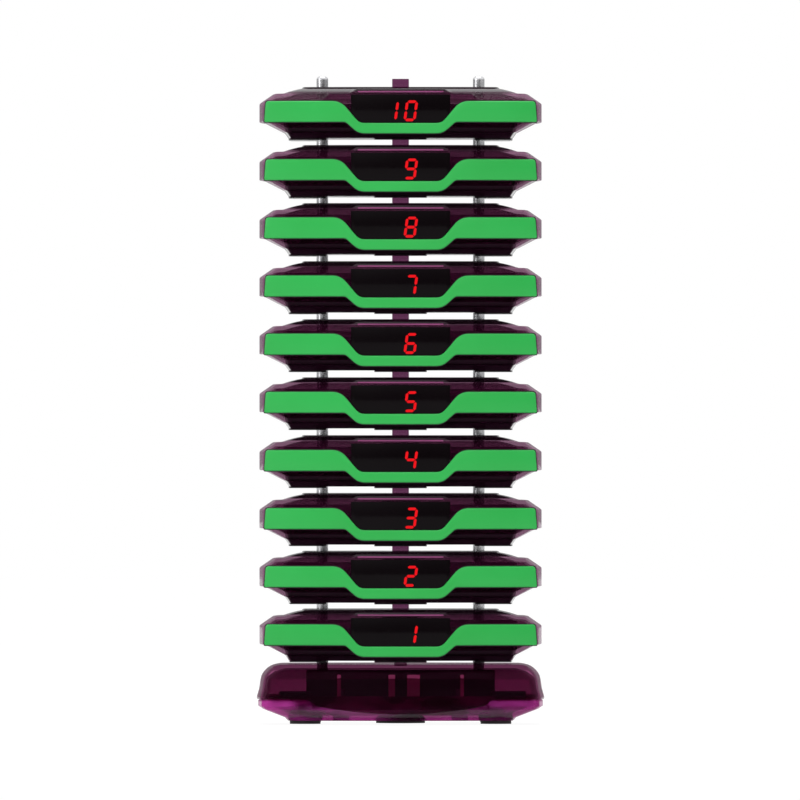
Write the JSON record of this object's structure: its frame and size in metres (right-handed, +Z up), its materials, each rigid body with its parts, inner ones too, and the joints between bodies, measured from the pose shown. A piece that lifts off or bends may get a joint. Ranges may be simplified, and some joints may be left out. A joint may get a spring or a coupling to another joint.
{
  "type": "guest pager system",
  "caption": "Stack of coaster-shaped guest pagers with lit numbers and a front band, standing on a charging base; each pager lifts off upwards.",
  "frame": {"origin": "centre of the footprint, on the counter", "axes": "+Z up, -Y towards the guest-facing front with the displays, +X to the right of the front view"},
  "size_m": [0.107, 0.0999, 0.241],
  "materials": {
    "purple_shell": "gloss, see-through dark purple",
    "base_cover_shell": "gloss, see-through dark purple",
    "base_tray_shell": "gloss, see-through light magenta",
    "green_band": "satin green",
    "chrome_post": "polished",
    "dark_post": "black nickel",
    "black_inside": "matt black",
    "circuit_board": "solder mask",
    "foot_rubber": "matt",
    "screw_steel": "zinc plated"
  },
  "bodies": {
    "base": {"base_cover": "base_cover_shell", "base_tray": "base_tray_shell", "base_feet": "foot_rubber", "base_screws": "screw_steel", "base_circuit_board": "circuit_board", "base_contact_carrier": "black_inside", "base_charging_posts": "dark_post", "base_power_inlet": "black_inside"},
    "pager_01": {"pager_01_upper_shell": "purple_shell", "pager_01_lower_shell": "purple_shell", "pager_01_front_band": "green_band", "pager_01_charging_posts": "chrome_post", "pager_01_electronics": "black_inside"},
    "pager_02": {"pager_02_upper_shell": "purple_shell", "pager_02_lower_shell": "purple_shell", "pager_02_front_band": "green_band", "pager_02_charging_posts": "chrome_post", "pager_02_electronics": "black_inside"},
    "pager_03": {"pager_03_upper_shell": "purple_shell", "pager_03_lower_shell": "purple_shell", "pager_03_front_band": "green_band", "pager_03_charging_posts": "chrome_post", "pager_03_electronics": "black_inside"},
    "pager_04": {"pager_04_upper_shell": "purple_shell", "pager_04_lower_shell": "purple_shell", "pager_04_front_band": "green_band", "pager_04_charging_posts": "chrome_post", "pager_04_electronics": "black_inside"},
    "pager_05": {"pager_05_upper_shell": "purple_shell", "pager_05_lower_shell": "purple_shell", "pager_05_front_band": "green_band", "pager_05_charging_posts": "chrome_post", "pager_05_electronics": "black_inside"},
    "pager_06": {"pager_06_upper_shell": "purple_shell", "pager_06_lower_shell": "purple_shell", "pager_06_front_band": "green_band", "pager_06_charging_posts": "chrome_post", "pager_06_electronics": "black_inside"},
    "pager_07": {"pager_07_upper_shell": "purple_shell", "pager_07_lower_shell": "purple_shell", "pager_07_front_band": "green_band", "pager_07_charging_posts": "chrome_post", "pager_07_electronics": "black_inside"},
    "pager_08": {"pager_08_upper_shell": "purple_shell", "pager_08_lower_shell": "purple_shell", "pager_08_front_band": "green_band", "pager_08_charging_posts": "chrome_post", "pager_08_electronics": "black_inside"},
    "pager_09": {"pager_09_upper_shell": "purple_shell", "pager_09_lower_shell": "purple_shell", "pager_09_front_band": "green_band", "pager_09_charging_posts": "chrome_post", "pager_09_electronics": "black_inside"},
    "pager_10": {"pager_10_upper_shell": "purple_shell", "pager_10_lower_shell": "purple_shell", "pager_10_front_band": "green_band", "pager_10_charging_posts": "chrome_post", "pager_10_electronics": "black_inside"}
  },
  "joints": [
    {"name": "lift_pager_01", "type": "slide", "parent": "base", "child": "pager_01", "axis": [0, 0, 1], "range_m": [0, 0.04]},
    {"name": "lift_pager_02", "type": "slide", "parent": "pager_01", "child": "pager_02", "axis": [0, 0, 1], "range_m": [0, 0.04]},
    {"name": "lift_pager_03", "type": "slide", "parent": "pager_02", "child": "pager_03", "axis": [0, 0, 1], "range_m": [0, 0.04]},
    {"name": "lift_pager_04", "type": "slide", "parent": "pager_03", "child": "pager_04", "axis": [0, 0, 1], "range_m": [0, 0.04]},
    {"name": "lift_pager_05", "type": "slide", "parent": "pager_04", "child": "pager_05", "axis": [0, 0, 1], "range_m": [0, 0.04]},
    {"name": "lift_pager_06", "type": "slide", "parent": "pager_05", "child": "pager_06", "axis": [0, 0, 1], "range_m": [0, 0.04]},
    {"name": "lift_pager_07", "type": "slide", "parent": "pager_06", "child": "pager_07", "axis": [0, 0, 1], "range_m": [0, 0.04]},
    {"name": "lift_pager_08", "type": "slide", "parent": "pager_07", "child": "pager_08", "axis": [0, 0, 1], "range_m": [0, 0.04]},
    {"name": "lift_pager_09", "type": "slide", "parent": "pager_08", "child": "pager_09", "axis": [0, 0, 1], "range_m": [0, 0.04]},
    {"name": "lift_pager_10", "type": "slide", "parent": "pager_09", "child": "pager_10", "axis": [0, 0, 1], "range_m": [0, 0.04]}
  ]
}
